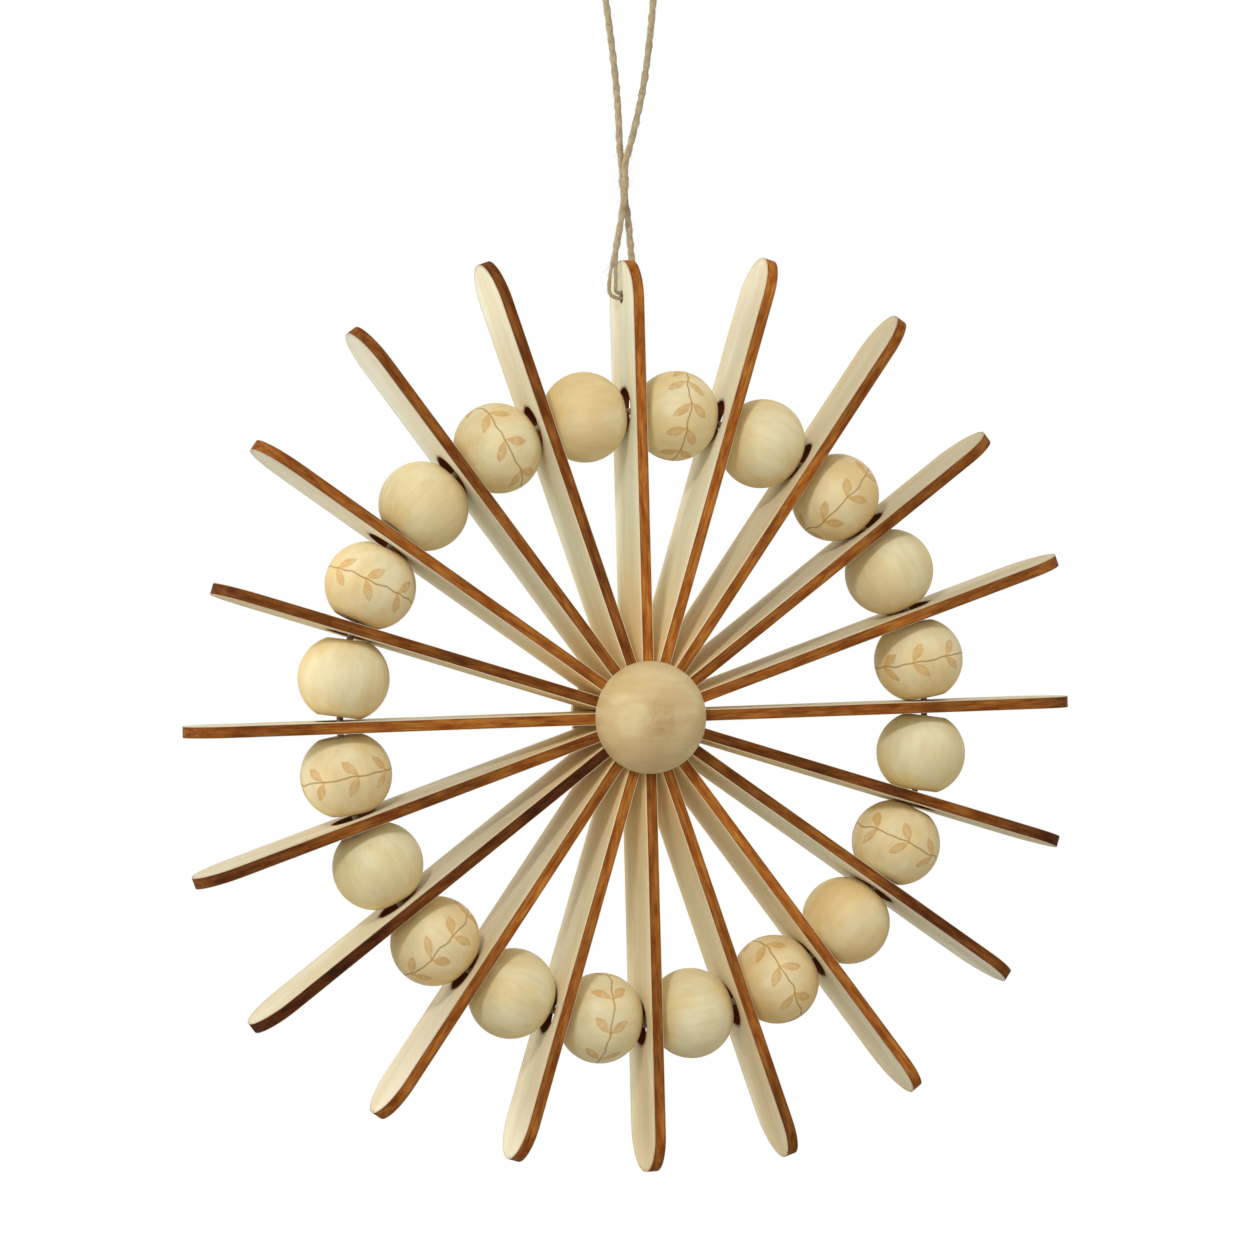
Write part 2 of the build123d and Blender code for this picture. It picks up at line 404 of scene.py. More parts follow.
class MaterialSheet(NodeSheet):
    """A new material's node tree, with its shader, its output and the object's own coordinates."""

    def __init__(self, name: str) -> None:
        """Start a material.

        Args:
            name: The material's name.
        """
        self.material = bpy.data.materials.new(name)
        self.material.use_nodes = True
        super().__init__(self.material.node_tree)
        self.tree.nodes.clear()
        self.shader = self.node("ShaderNodeBsdfPrincipled")
        self.bsdf = Wire(self, self.shader.outputs["BSDF"])
        self.output = self.node("ShaderNodeOutputMaterial", self.bsdf)
        self.place = self.add("ShaderNodeTexCoord", output="Object")

    def look(self, colour: Wire, roughness: Wire, specular: float) -> None:
        """Give the shader its colour, roughness and gloss."""
        values = {"Base Color": colour, "Roughness": roughness, "Specular IOR Level": specular}
        self.fill(self.shader, values)

    def relief(self, height: Wire, depth: float, strength: float) -> None:
        """Feed a height into the shader's normal: its depth in metres, and the Bump node's strength."""
        bump = self.fill(self.node("ShaderNodeBump", strength, depth), {"Height": height})
        self.feed(self.shader.inputs["Normal"], Wire(self, bump.outputs[0]))

    def turned_finish(self, streaks: Wire, relief: Wire, wood: Wire, roughness: float) -> None:
        """A turned piece's colour, satin gloss and fine relief."""
        self.look(wood, streaks * 0.1 + roughness, 0.3)
        self.relief(relief, 0.00004, 0.5)


def warmed(tone: Tone, warmth: float, shade: float = 0.0) -> Rgba:
    """A wood's tone, its colour and what warmth adds to it, brought to a piece's warmth and shade."""
    channels = (value + warmth * step for value, step in zip(*tone))
    return srgb(*(min(BRIGHTEST_WOOD, round(value * (1 + shade))) for value in channels))


@dataclass(frozen=True)
class Grain:
    """How a wood's grain shows: its waves for each mm across, in depth and along, and its layers."""

    waves: Point
    patch_waves: Point
    streaks: float
    streak_colour: Rgb
    pores: float
    pore_colour: Rgb

    def lay(
        self, sheet: NodeSheet, spot: Values, seed: float, colours: Sequence[Rgba], bend: object = 0.0
    ) -> tuple[Values, Wire]:
        """Lay patches, streaks and pores over each other.

        Args:
            sheet: The material's sheet.
            spot: Where the point lies on the piece.
            seed: The piece's own number for its noise.
            colours: The palest and the deepest patches' colours.
            bend: How far the streaks wander from the straight.

        Returns:
            The grain's values, and the wood's colour.
        """
        across, depth, along = self.waves
        place = sheet.vector(spot.across * across, spot.depth * depth, (spot.along + bend) * along)
        across, depth, along = self.patch_waves
        patch_place = sheet.vector(spot.across * across, spot.depth * depth, spot.along * along)
        grain = WoodGrain.placed(sheet, place, patch_place, seed)
        wood = sheet.mix(grain.patches, *colours)
        wood = sheet.mix(grain.streaks * self.streaks, wood, srgb(*self.streak_colour))
        return grain, sheet.mix(grain.pores * self.pores, wood, srgb(*self.pore_colour))


class Burn(Enum):
    """How hard the laser burnt a blade's edge, as a share of the darkest."""

    LIGHT = 0.08
    MIDDLE = 0.28
    BROWN = 0.42
    DARK = 0.54
    DEEP = 0.68
    BLACK = 0.9


@dataclass(frozen=True)
class BladeWood:
    """Pale laser-cut sheet wood with burnt edges, for one blade."""

    number: int
    reach: float
    burn: Burn
    warmth: float
    # Lightness share: partly the wood's own tone, partly painted light.
    shade: float
    twine_hole: float
    grain: Grain = Grain((0.5, 0.85, 0.045), (0.3, 0.1, 0.035), 0.2, (210, 188, 142), 0.14, (160, 122, 78))
    tones: tuple[Tone, Tone] = (((240, 231, 202), (2, -6, -20)), ((230, 215, 178), (2, -9, -22)))
    # Painted bounce light: a warm pale colour laid towards the hub, where the blades shade each other.
    painted_bounce_light_colour: Rgba = srgb(254, 222, 160)
    # Painted highlight colour for the lit band along each blade's rim near the hub.
    wear_colour: Rgba = srgb(252, 232, 194)
    halo_colour: Rgba = srgb(120, 66, 32)

    def material(self) -> bpy.types.Material:
        """Build the blade's material.

        Returns:
            The material.
        """
        sheet = MaterialSheet(f"blade_wood_{self.number + 1:02d}")
        spot = StarPlace.placed(sheet, sheet.place, radians(PITCH_DEGREES * self.number))
        seed = 1.37 * self.number + 2.0
        colours = [warmed(tone, self.warmth, self.shade) for tone in self.tones]
        grain, wood = self.grain.lay(sheet, spot, seed, colours)
        sizes = (self.reach, self.twine_hole, self.burn.value)
        burnt = BurntEdge.placed(sheet, spot.along, spot.across, spot.depth, *sizes, seed)
        # Painted bounce light, warmer and paler towards the hub between the blades.
        wood = sheet.mix(spot.along.smooth(32.0, 9.0) * 0.6, wood, self.painted_bounce_light_colour)
        # Painted highlight: the lit band along the rim near the hub.
        wood = sheet.mix(burnt.wear * 0.6, wood, self.wear_colour)
        wood = sheet.mix(burnt.halo, wood, self.halo_colour)
        wood = sheet.mix(burnt.edge, wood, burnt.burn_colour)
        sheet.look(wood, grain.streaks * 0.1 + burnt.edge * 0.16 + 0.56, 0.1)
        sheet.relief(grain.relief * 0.6 + burnt.ribs * burnt.edge * 0.8, 0.00006, 0.55)
        return sheet.material


@dataclass(frozen=True)
class SprigPaint:
    """How one bead's sprig lies: where a pair of leaves sits, how many pairs, and which way they point."""

    phase: float
    pairs: int
    outward: bool


@dataclass(frozen=True)
class BeadWood:
    """Turned pale wood with its grain along the bore, bare or painted with a sprig."""

    number: int
    warmth: float
    sprig: SprigPaint | None
    grain: Grain = Grain((0.07, 0.62, 0.62), (0.09, 0.13, 0.13), 0.22, (208, 178, 124), 0.12, (170, 132, 84))
    tones: tuple[Tone, Tone] = (((235, 225, 184), (2, -6, -14)), ((229, 210, 158), (2, -8, -16)))
    end_colour: Rgba = srgb(196, 156, 100)
    glow_colour: Rgba = srgb(246, 212, 144)
    leaf_colours: tuple[Rgba, Rgba] = (srgb(216, 172, 104), srgb(190, 142, 78))
    stem_colour: Rgba = srgb(156, 118, 64)

    def material(self) -> bpy.types.Material:
        """Build the bead's material.

        Returns:
            The material.
        """
        kind = "plain" if self.sprig is None else "sprig"
        sheet = MaterialSheet(f"{kind}_bead_wood_{self.number + 1:02d}")
        spot = StarPlace.placed(sheet, sheet.place, radians(PITCH_DEGREES * (self.number + 0.5)))
        seed = 2.11 * self.number + 0.7
        colours = [warmed(tone, self.warmth) for tone in self.tones]
        grain, wood = self.grain.lay(sheet, spot, seed, colours)
        wood = sheet.mix(abs(spot.across).smooth(5.6, 6.6) * 0.4, wood, self.end_colour)
        if self.sprig is not None:
            wood = self.paint(sheet, wood, spot, seed)
        sheet.turned_finish(grain.streaks, grain.relief, wood, 0.5)
        return sheet.material

    def paint(self, sheet: NodeSheet, wood: Wire, spot: Values, seed: float) -> Wire:
        """Lay the sprig over the wood's colour.

        Args:
            sheet: The material's sheet.
            wood: The bare wood's colour.
            spot: Where the point lies on the bead.
            seed: The bead's own number for its noise.

        Returns:
            The painted colour.
        """
        way = 1.0 if self.sprig.outward else -1.0
        lie = (radians(self.sprig.phase), float(self.sprig.pairs), way)
        sprig = PaintedSprig.placed(sheet, spot.along, spot.across, spot.depth, *lie, seed)
        colour = sheet.mix(sprig.glow * 0.4, wood, self.glow_colour)
        leaf = sheet.mix(sprig.rim, *self.leaf_colours)
        place = sheet.vector(spot.along, spot.across, spot.depth + seed)
        cover = 0.88 - place.noise(0.9, 3.0, 0.6).smooth(0.4, 0.66) * 0.36
        colour = sheet.mix(sprig.leaf * cover, colour, leaf)
        return sheet.mix(sprig.stem * 0.72, colour, self.stem_colour)


@dataclass(frozen=True)
class HubWood:
    """The split ball's wood, with its grain lying level and a small knot near the middle."""

    knot_across: float = -0.7
    knot_along: float = -0.4
    seed: float = 4.2
    colours: tuple[Rgba, Rgba] = (srgb(222, 204, 152), srgb(213, 186, 134))
    knot_colour: Rgba = srgb(182, 144, 92)
    grain: Grain = Grain((0.06, 0.3, 0.55), (0.1, 0.1, 0.17), 0.3, (198, 162, 106), 0.15, (164, 124, 76))

    def material(self) -> bpy.types.Material:
        """Build the hub's material.

        Returns:
            The material.
        """
        sheet = MaterialSheet("half_ball_wood")
        spot = StarPlace.placed(sheet, sheet.place, 0.0)
        place = sheet.vector(spot.across, spot.depth, spot.along)
        grain, wood = self.grain.lay(sheet, spot, self.seed, self.colours, place.sway(1.5, 0.1, 1.0))
        right, up = spot.across - self.knot_across, spot.along - self.knot_along
        away = (right * right + up * up * 0.6).math("SQRT")
        mottled = place.noise(0.75, 4.0, 0.65).smooth(0.32, 0.66)
        wood = sheet.mix(away.smooth(5.4, 0.2) * (mottled * 0.4 + 0.42), wood, self.knot_colour)
        sheet.turned_finish(grain.streaks, grain.relief, wood, 0.48)
        return sheet.material


@dataclass(frozen=True)
class FibreFinish:
    """Twine or string: fibres wound along each ply."""

    name: str
    light: Rgb
    dark: Rgb
    odd: Rgb
    windings: float

    def material(self) -> bpy.types.Material:
        """Build the twine's material.

        Returns:
            The material.
        """
        sheet = MaterialSheet(self.name)
        lay = sheet.add("ShaderNodeUVMap", uv_map="lay")
        wound = TwistedFibres.placed(sheet, lay, self.windings)
        colour = sheet.mix(wound.fibres, srgb(*self.dark), srgb(*self.light))
        colour = sheet.mix(wound.tone * 0.5, colour, srgb(*self.odd))
        sheet.look(colour, 0.92 - wound.fibres * 0.12, 0.2)
        sheet.shader.inputs["Sheen Weight"].default_value = 0.15
        sheet.relief(wound.fibres, 0.00008, 0.8)
        return sheet.material


def steady(radius: float) -> Girth:
    """The radius by angle of a ring that is round."""
    return lambda _: radius


def lobed(radius: float, far: float, lump: Sequence[float]) -> Girth:
    """The radius by angle of a ring that is slightly lobed, by its place and the ply's own offsets."""
    waves = ((0.07, 3, lump[2] - far * 3.2), (0.045, 5, lump[3] - far * 4.1))
    return lambda angle: radius * (1 + sum(size * sin(n * angle + phase) for size, n, phase in waves))


def crosswise(first: Vector, second: Vector, angle: float) -> Vector:
    """The direction at an angle between two that stand square to each other."""
    return first * cos(angle) + second * sin(angle)


def in_scene(name: str, data: bpy.types.ID) -> bpy.types.Object:
    """Put a new object with this data into the scene.

    Args:
        name: The object's name.
        data: Its mesh, curve, camera or lamp.

    Returns:
        The new object.
    """
    piece = bpy.data.objects.new(name, data)
    bpy.context.scene.collection.objects.link(piece)
    return piece


def spline_line(name: str, points: Sequence[Point], fineness: int) -> list[Vector]:
    """Lay a smooth spline over a route and read its line.

    Args:
        name: A name for the spline.
        points: The route's points, in millimetres.
        fineness: Steps for each of the route's points.

    Returns:
        The points of the spline's line, in metres.
    """
    curve = bpy.data.curves.new(name, "CURVE")
    curve.dimensions = "3D"
    curve.resolution_u = fineness
    spline = curve.splines.new("NURBS")
    spline.points.add(len(points) - 1)
    for target, point in zip(spline.points, points):
        target.co = (*(Vector(point) * MM), 1.0)
    spline.order_u = 3
    spline.use_endpoint_u = True
    carrier = in_scene(name, curve)
    bpy.context.view_layer.update()
    mesh = bpy.data.meshes.new_from_object(carrier)
    line = [vertex.co.copy() for vertex in mesh.vertices]
    bpy.data.objects.remove(carrier)
    bpy.data.curves.remove(curve)
    bpy.data.meshes.remove(mesh)
    return line


def travelled(line: Line) -> list[float]:
    """How far along its line each point is, in the points' own unit."""
    return [0.0, *accumulate((there - here).length for here, there in zip(line, line[1:]))]


def carried_frames(line: Line, start: Vector) -> list[Frame]:
    """A direction along the line and two across it at each point, which turn as little as they can.

    Args:
        line: The points.
        start: Roughly where the first crosswise direction points.

    Returns:
        The three directions at each point.
    """
    frames = []
    across = start
    for before, after in zip([line[0], *line[:-1]], [*line[1:], line[-1]]):
        ahead = (after - before).normalized()
        across = (across - ahead * across.dot(ahead)).normalized()
        frames.append((ahead, across, ahead.cross(across)))
    return frames


@dataclass(frozen=True)
class OpenedEye:
    """A stretch where the twine has come untwisted, so that its plies lie side by side with a gap."""

    held_at: float
    start: float
    end: float
    widest: float
    slimming: float = 0.36

    def at(self, far: float) -> tuple[float, float, float]:
        """The plies at one place: their twist stands still in the eye, and they bulge less.

        Args:
            far: How far along the twine, in millimetres.

        Returns:
            The length that counts for the twist, how far apart the plies are, 1 where they are
            pulled tight, and their radius as a share of the usual one.
        """
        wound = self.held_at + max(0.0, far - self.end)
        spread = 1.0
        if self.start < far < self.end:
            swell = sin(pi * (far - self.start) / (self.end - self.start))
            spread += (self.widest - 1.0) * swell
        return wound, spread, 1.0 - self.slimming * min(1.0, (spread - 1.0) / 2.0)


@dataclass(frozen=True)
class Laying:
    """How a twine is made up, in mm: its plies, pressed a little into each other, and its loose fibres."""

    diameter: float
    plies: int
    lay_length: float
    fibres_per_mm: float
    fibre_length: float
    ply_share: float = 0.33
    offset_share: float = 0.08
    fibre_root_share: float = 0.36
    fibre_steps: int = 6
    fibre_thickness: tuple[float, float] = (0.014, 0.024)
    frayed_fibres: int = 26
    frayed_steps: int = 4
    frayed_thickness: float = 0.025

    def ply_radius(self) -> float:
        """One ply's radius, in metres."""
        return self.diameter * self.ply_share * MM

    def ply_offset(self) -> float:
        """How far a ply's middle is from the twine's line, in metres."""
        return self.diameter * self.offset_share * MM


class PlyMesh:
    """Collects plies and loose fibres as one mesh, with a lay map of length and girth."""

    def __init__(self, laying: Laying, sides: int) -> None:
        """Start an empty mesh.

        Args:
            laying: How the twine is made up.
            sides: Points on a ply's ring.
        """
        self.laying, self.sides = laying, sides
        self.mesh = bmesh.new()
        self.lay = self.mesh.loops.layers.uv.new("lay")

    def tube(
        self, centres: Line, radii: Sequence[Girth], lengths: Sequence[float],
        frames: Sequence[Frame], sides: int, closed: bool = False,
    ) -> None:
        """Skin one tube over its rings.

        Args:
            centres: Each ring's centre.
            radii: For each ring, its radius by the angle round it.
            lengths: How far along each ring is, in millimetres.
            frames: Each ring's directions: ahead, and two across.
            sides: Points on a ring.
            closed: Whether the last ring joins the first.
        """
        rings = []
        for centre, radius, (_, first, second) in zip(centres, radii, frames):
            angles = [tau * side / sides for side in range(sides)]
            points = [centre + crosswise(first, second, angle) * radius(angle) for angle in angles]
            rings.append([self.mesh.verts.new(point) for point in points])
        lengths = [*lengths, 2 * lengths[-1] - lengths[-2]]
        for here in range(len(rings) if closed else len(rings) - 1):
            near, far = rings[here], rings[(here + 1) % len(rings)]
            for side in range(sides):
                there, after = here + 1, side + 1
                places = ((near, here, side), (near, here, after), (far, there, after), (far, there, side))
                face = self.mesh.faces.new([ring[turn % sides] for ring, _, turn in places])
                face.smooth = True
                for loop, (_, index, turn) in zip(face.loops, places):
                    loop[self.lay].uv = (lengths[index], turn / sides)
        if not closed:
            for ring, way in ((rings[0], -1), (rings[-1], 1)):
                self.mesh.faces.new(ring[::way]).smooth = True

    def twist(self, line: Line, seed: int, eye: OpenedEye | None = None) -> None:
        """Wind the plies round a line and add their loose fibres.

        Args:
            line: The twine's line, in metres.
            seed: Seeds the unevenness and the fibres.
            eye: Where the plies stand apart, if they do.
        """
        chance = random.Random(seed)
        lengths = [distance / MM for distance in travelled(line)]
        frames = carried_frames(line, Vector((0, 1, 0)))
        for ply in range(self.laying.plies):
            phase = tau * ply / self.laying.plies
            lump = [chance.uniform(0, 6.28) for _ in range(4)]
            centres, radii = [], []
            for point, far, (_, first, second) in zip(line, lengths, frames):
                wound, spread, slim = eye.at(far) if eye else (far, 1.0, 1.0)
                away = crosswise(first, second, phase + tau * wound / self.laying.lay_length)
                centres.append(point + away * self.laying.ply_offset() * spread)
                swell = 1 + 0.045 * sin(far * 1.3 + lump[0]) + 0.03 * sin(far * 3.7 + lump[1])
                radii.append(lobed(self.laying.ply_radius() * swell * slim, far, lump))
            self.tube(centres, radii, lengths, frames, self.sides)
        self.add_fibres(line, lengths, frames, chance)

    def add_fibres(
        self, line: Line, lengths: Sequence[float], frames: Sequence[Frame],
        chance: random.Random,
    ) -> None:
        """Add loose fibres that stand off the twine.

        Args:
            line: The twine's line.
            lengths: How far along each of its points is, in millimetres.
            frames: The directions at each point.
            chance: The seeded source of unevenness.
        """
        for _ in range(round(self.laying.fibres_per_mm * lengths[-1])):
            index = chance.randrange(2, len(line) - 2)
            ahead, first, second = frames[index]
            away = crosswise(first, second, chance.uniform(0, tau))
            around = ahead.cross(away)
            way = chance.choice((-1, 1))
            heading = ahead * way * chance.uniform(0.5, 1.4) + around * chance.uniform(-0.8, 0.8)
            heading = (heading + away * 0.55).normalized()
            root = line[index] + away * self.laying.diameter * self.laying.fibre_root_share * MM
            length = self.laying.fibre_length * chance.uniform(0.3, 1.0) ** 1.6
            curl = (around * chance.uniform(-1, 1) - away * chance.uniform(-0.2, 0.7)) * 0.32
            size = (length, self.laying.fibre_steps, chance.uniform(*self.laying.fibre_thickness))
            LooseFibre(root, heading, curl, *size, lengths[index]).add_to(self)

    def fray(self, line: Line, seed: int) -> None:
        """Add loose fibres at a cut end.

        Args:
            line: The strand's line, which ends at the cut.
            seed: Seeds the fibres.
        """
        chance = random.Random(seed)
        ahead = (line[-1] - line[-3]).normalized()
        first = ahead.orthogonal().normalized()
        second = ahead.cross(first)
        for _ in range(self.laying.frayed_fibres):
            away = crosswise(first, second, chance.uniform(0, tau))
            root = line[-1] + away * chance.uniform(0.1, 0.6) * MM - ahead * 0.3 * MM
            heading = (ahead + away * chance.uniform(0.0, 0.7)).normalized()
            length = chance.uniform(0.5, 1.3)
            curl = away * chance.uniform(-0.15, 0.15)
            size = (length, self.laying.frayed_steps, self.laying.frayed_thickness)
            LooseFibre(root, heading, curl, *size, chance.uniform(0, 20)).add_to(self)

    def finish(self, name: str, material: bpy.types.Material) -> bpy.types.Object:
        """Turn what is collected into an object.

        Args:
            name: The object's name.
            material: Its material.

        Returns:
            The new object, in the scene.
        """
        data = bpy.data.meshes.new(name)
        self.mesh.normal_update()
        self.mesh.to_mesh(data)
        self.mesh.free()
        data.materials.append(material)
        return in_scene(name, data)


@dataclass(frozen=True)
class LooseFibre:
    """One fibre that stands off the twine and curls, with its length and thickness in millimetres."""

    root: Vector
    heading: Vector
    curl: Vector
    length: float
    steps: int
    thickness: float
    far: float

    def add_to(self, bundle: PlyMesh) -> None:
        """Grow the fibre from its root, as a thin tube that tapers to its tip.

        Args:
            bundle: The mesh to add to.
        """
        heading, points = self.heading, [self.root]
        for _ in range(self.steps):
            heading = (heading + self.curl).normalized()
            points.append(points[-1] + heading * self.length * MM / self.steps)
        frames = carried_frames(points, Vector((0.37, 0.61, 0.7)))
        tapers = [1 - 0.75 * step / self.steps for step in range(len(points))]
        radii = [steady(self.thickness * MM * taper) for taper in tapers]
        lengths = [self.far + 0.3 * step for step in range(len(points))]
        bundle.tube(points, radii, lengths, frames, 3)


@dataclass
class TwineLoop:
    """The jute twine: its two halves from the top blade's hole up to the knot, and the knot."""

    laying: Laying = Laying(1.5, 2, 5.4, 3.4, 2.6)
    finish: FibreFinish = FibreFinish("jute_twine", (228, 214, 176), (152, 130, 88), (204, 180, 134), 0.42)
    sides: int = 12
    fineness: int = 56
    knot_fineness: int = 20
    knot_seed: int = 31
    fray_seed: int = 77
    hole_points: Route = (
        (0.0, 0.0, -65.75), (-2.75, 0.0, -65.9), (-2.5, 0.0, -62.9), (-2.1, 0.0, -59.0),
    )
    left_leg: Route = ((-0.55, -0.45, -51.3), (0.0, -0.8, -47.05), (0.0, -0.8, -44.8))
    right_strand: Route = (
        (0.0, -0.8, -42.6), (1.1, -0.55, -39.8), (2.75, -0.1, -34.4), (4.5, 0.0, -27.0), (6.3, 0.0, -14.5),
        (6.5, 0.0, -8.0), (4.6, 0.0, -2.9), (0.8, 0.0, 0.9), (0.8, 0.0, 4.4),
    )
    right_hole_points: Route = (
        (0.0, 0.0, -65.75), (2.6, 0.2, -65.8), (1.8, 1.2, -62.7), (1.7, 2.4, -59.2),
    )
    right_leg: Route = ((1.0, 1.5, -51.3), (0.0, 0.8, -47.05), (0.0, 0.8, -44.8))
    left_strand: Route = (
        (0.0, 0.8, -42.6), (-0.45, 0.55, -40.3), (-0.6, 0.1, -34.7), (-1.05, 0.0, -27.2), (-2.3, 0.0, -15.0),
        (-3.3, 0.0, -8.2), (-2.9, 0.0, -3.0), (-0.8, 0.0, 0.9), (-0.8, 0.0, 4.4),
    )
    crossing_z: float = -44.8
    blend_reach: float = 1.6
    knot_top: float = 10.0
    wrap_radius: float = 2.04
    wrap_pitch: float = 3.0
    wrap_turns: float = 1.25
    eye: OpenedEye = OpenedEye(1.35, -1.0, 8.8, 5.0)
    left_tail: Route = ((-0.8, 0.0, 12.2), (-2.1, -0.5, 15.6), (-2.6, -0.2, 18.4))
    right_tail: Route = ((0.8, 0.0, 12.0), (1.6, 0.6, 15.0), (3.1, 0.9, 17.4))

    def half(
        self, name: str, points: Sequence[Point], material: bpy.types.Material, seed: int,
        eye: OpenedEye | None,
    ) -> tuple[bpy.types.Object, list[Vector]]:
        """One half of the twine, from the hole to the knot.

        Args:
            name: The piece's name.
            points: Its route, in millimetres.
            material: The twine's material.
            seed: Seeds its unevenness.
            eye: Where its plies stand apart, if they do.

        Returns:
            The piece and its line.
        """
        line = spline_line(name + "_line", points, self.fineness)
        bundle = PlyMesh(self.laying, self.sides)
        bundle.twist(line, seed, eye)
        piece = bundle.finish(name, material)
        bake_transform(piece)
        return piece, line

    def knot_route(self, side: int) -> list[Point]:
        """One strand's way through the overhand knot: up the core, round it, and up again.

        Args:
            side: -1 for the left strand, 1 for the right.

        Returns:
            The route's points, in millimetres.
        """
        high = self.knot_top - 0.9
        points = [(0.8 * side, 0.0, 4.3), (0.6 * side, 0.3 * side, 6.2), (0.7 * side, 0.5 * side, high)]
        reach = side * self.wrap_radius
        for step in range(round(12 * self.wrap_turns) + 1):
            angle = radians(30 * step + 20)
            fall = self.wrap_pitch * step / 12
            points.append((reach * cos(angle), reach * sin(angle), high - 0.15 - fall))
        points += [(-0.5 * side, 0.4 * side, 5.6), (-0.2 * side, 0.5 * side, 7.4)]
        return [*points, (0.6 * side, 0.2 * side, 9.4), *(self.left_tail if side < 0 else self.right_tail)]

    def knot(self, material: bpy.types.Material) -> bpy.types.Object:
        """The overhand knot of both strands, with its cut tails.

        Args:
            material: The twine's material.

        Returns:
            The knot's piece.
        """
        bundle = PlyMesh(self.laying, self.sides)
        for side in (-1, 1):
            line = spline_line(f"knot_line_{side + 1}", self.knot_route(side), self.knot_fineness)
            bundle.twist(line, self.knot_seed + side)
            bundle.fray(line, self.fray_seed + side)
        return bundle.finish("twine_overhand_knot", material)

    def build(self) -> None:
        material = self.finish.material()
        knot = self.knot(material)
        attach(knot, "hanging_loop")
        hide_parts("twine_knot")
        front_points = self.hole_points + self.left_leg + self.right_strand
        back_points = self.right_hole_points + self.right_leg + self.left_strand
        front, front_line = self.half("twine_front_half", front_points, material, 5, self.eye)
        back, back_line = self.half("twine_back_half", back_points, material, 9, None)
        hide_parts("twine_sling", "twine_right_strand")
        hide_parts("twine_sling", "twine_left_strand")
        for piece in (front, back, knot):
            LOG.info("twine piece %s with %d faces", piece.name, len(piece.data.polygons))


@dataclass
class BeadString:
    """The closed string through the beads, tied inside the lowest blade's hole."""

    laying: Laying = Laying(1.5, 3, 4.6, 0.0, 1.0)
    finish: FibreFinish = FibreFinish(
        "cotton_string", (212, 196, 160), (164, 144, 106), (190, 168, 128), 0.5
    )
    radius: float = 53.25
    steps: int = 1440
    sides: int = 8
    knot_steps: int = 90
    knot_ply_radius: float = 0.45

    def ring(self, bundle: PlyMesh) -> None:
        """Wind the plies round the ring.

        Args:
            bundle: The mesh to add to.
        """
        centre = Vector((0, 0, STAR_CENTRE_Z * MM))
        front = Vector((0, -1, 0))
        girth = tau * self.radius
        turns = round(girth / self.laying.lay_length)
        radii = [steady(self.laying.ply_radius())] * self.steps
        lengths = [girth * step / self.steps for step in range(self.steps)]
        for ply in range(self.laying.plies):
            centres, frames = [], []
            for step in range(self.steps):
                turn = tau * step / self.steps
                outward = Vector((sin(turn), 0, cos(turn)))
                angle = tau * (turns * step / self.steps + ply / self.laying.plies)
                away = crosswise(outward, front, angle) * self.laying.ply_offset()
                centres.append(centre + outward * self.radius * MM + away)
                frames.append((outward.cross(front), outward, front))
            bundle.tube(centres, radii, lengths, frames, self.sides, closed=True)

    def knot(self, bundle: PlyMesh) -> None:
        """The small tight knot in the string.

        Args:
            bundle: The mesh to add to.
        """
        centre = Vector((0, 0, (STAR_CENTRE_Z - self.radius) * MM))
        centres = []
        for step in range(self.knot_steps):
            turn = tau * step / self.knot_steps
            x = sin(turn) + 2 * sin(2 * turn)
            y = cos(turn) - 2 * cos(2 * turn)
            z = -sin(3 * turn)
            centres.append(centre + Vector((z * 0.5, x * 0.3, y * 0.3)) * MM)
        lengths = [0.2 * step for step in range(self.knot_steps)]
        radii = [steady(self.knot_ply_radius * MM)] * self.knot_steps
        frames = carried_frames(centres, Vector((1, 0, 0)))
        bundle.tube(centres, radii, lengths, frames, self.sides, closed=True)

    def build(self) -> None:
        """Build the string and its knot."""
        bundle = PlyMesh(self.laying, self.sides)
        self.ring(bundle)
        self.knot(bundle)
        piece = bundle.finish("threading_string", self.finish.material())
        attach(piece, "star")
        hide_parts("bead_string")
        LOG.info("string piece %s with %d faces", piece.name, len(piece.data.polygons))


def dress(node: str, material: bpy.types.Material, softening: float) -> None:
    """Give a CAD piece its finish and soften its sharp edges.

    Args:
        node: The CAD piece's name.
        material: Its material.
        softening: How wide its softened edges are, in millimetres.
    """
    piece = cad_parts[node]
    if not piece.material_slots:
        piece.data.materials.append(material)
    for place in piece.material_slots:
        place.link = "OBJECT"
        place.material = material
    if softening > 0:
        bevel = piece.modifiers.new("softened_edges", "BEVEL")
        bevel.width = softening * MM
        bevel.segments = 2
        bevel.limit_method = "ANGLE"
        bevel.angle_limit = radians(35)
        bevel.use_clamp_overlap = True


